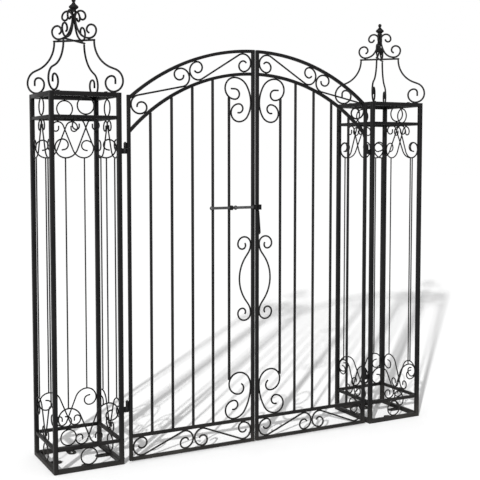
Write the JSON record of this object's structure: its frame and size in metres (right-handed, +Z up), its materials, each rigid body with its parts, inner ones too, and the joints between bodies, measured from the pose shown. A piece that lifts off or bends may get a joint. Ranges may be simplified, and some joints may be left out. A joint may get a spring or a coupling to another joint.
{
  "type": "double garden gate",
  "caption": "Double-leaf arched wrought iron garden gate with scrollwork, hung between square open lattice columns with scrolled crowns and finials.",
  "frame": {"origin": "centre of the foot of the left column's inner front post, on its flat underside", "axes": "+X along the gate from the left column to the right one, +Y to the back, +Z up"},
  "size_m": [1.2318, 0.2174, 1.2747],
  "materials": {
    "black_coat": "satin",
    "cast_finial": "satin"
  },
  "bodies": {
    "columns": {"left_posts": "black_coat", "left_column_rails": "black_coat", "left_anchor_tabs": "black_coat", "left_rings": "black_coat", "left_face_scrolls": "black_coat", "left_face_rods": "black_coat", "left_crown_base": "black_coat", "left_crown_bolts": "black_coat", "left_crown_scrolls": "black_coat", "left_crown_cross": "black_coat", "left_crown_top": "black_coat", "left_finial": "cast_finial", "left_hinge_pins": "black_coat", "right_posts": "black_coat", "right_column_rails": "black_coat", "right_anchor_tabs": "black_coat", "right_rings": "black_coat", "right_face_scrolls": "black_coat", "right_face_rods": "black_coat", "right_crown_base": "black_coat", "right_crown_bolts": "black_coat", "right_crown_scrolls": "black_coat", "right_crown_cross": "black_coat", "right_crown_top": "black_coat", "right_finial": "cast_finial", "right_hinge_pins": "black_coat"},
    "left_leaf": {"left_stiles": "black_coat", "left_leaf_rails": "black_coat", "left_arches": "black_coat", "left_bars": "black_coat", "left_frieze": "black_coat", "left_base_scrolls": "black_coat", "left_lock_scrolls": "black_coat", "left_hinge_eyes": "black_coat", "bolt_guides": "black_coat"},
    "right_leaf": {"right_stiles": "black_coat", "right_leaf_rails": "black_coat", "right_arches": "black_coat", "right_bars": "black_coat", "right_frieze": "black_coat", "right_base_scrolls": "black_coat", "right_lock_scrolls": "black_coat", "right_hinge_eyes": "black_coat", "bolt_keeper": "black_coat", "pull": "black_coat"},
    "bolt": {"slide_bolt": "black_coat"}
  },
  "joints": [
    {"name": "left_leaf_swing", "type": "hinge", "parent": "columns", "child": "left_leaf", "pos_m": [0.018, 0.0025, 0.143], "axis": [0, 0, 1], "range_deg": [-90, 90]},
    {"name": "right_leaf_swing", "type": "hinge", "parent": "columns", "child": "right_leaf", "pos_m": [0.818, 0.0025, 0.143], "axis": [0, 0, -1], "range_deg": [-90, 90]},
    {"name": "bolt_slide", "type": "slide", "parent": "left_leaf", "child": "bolt", "axis": [1, 0, 0], "range_m": [0, 0.0291]}
  ]
}
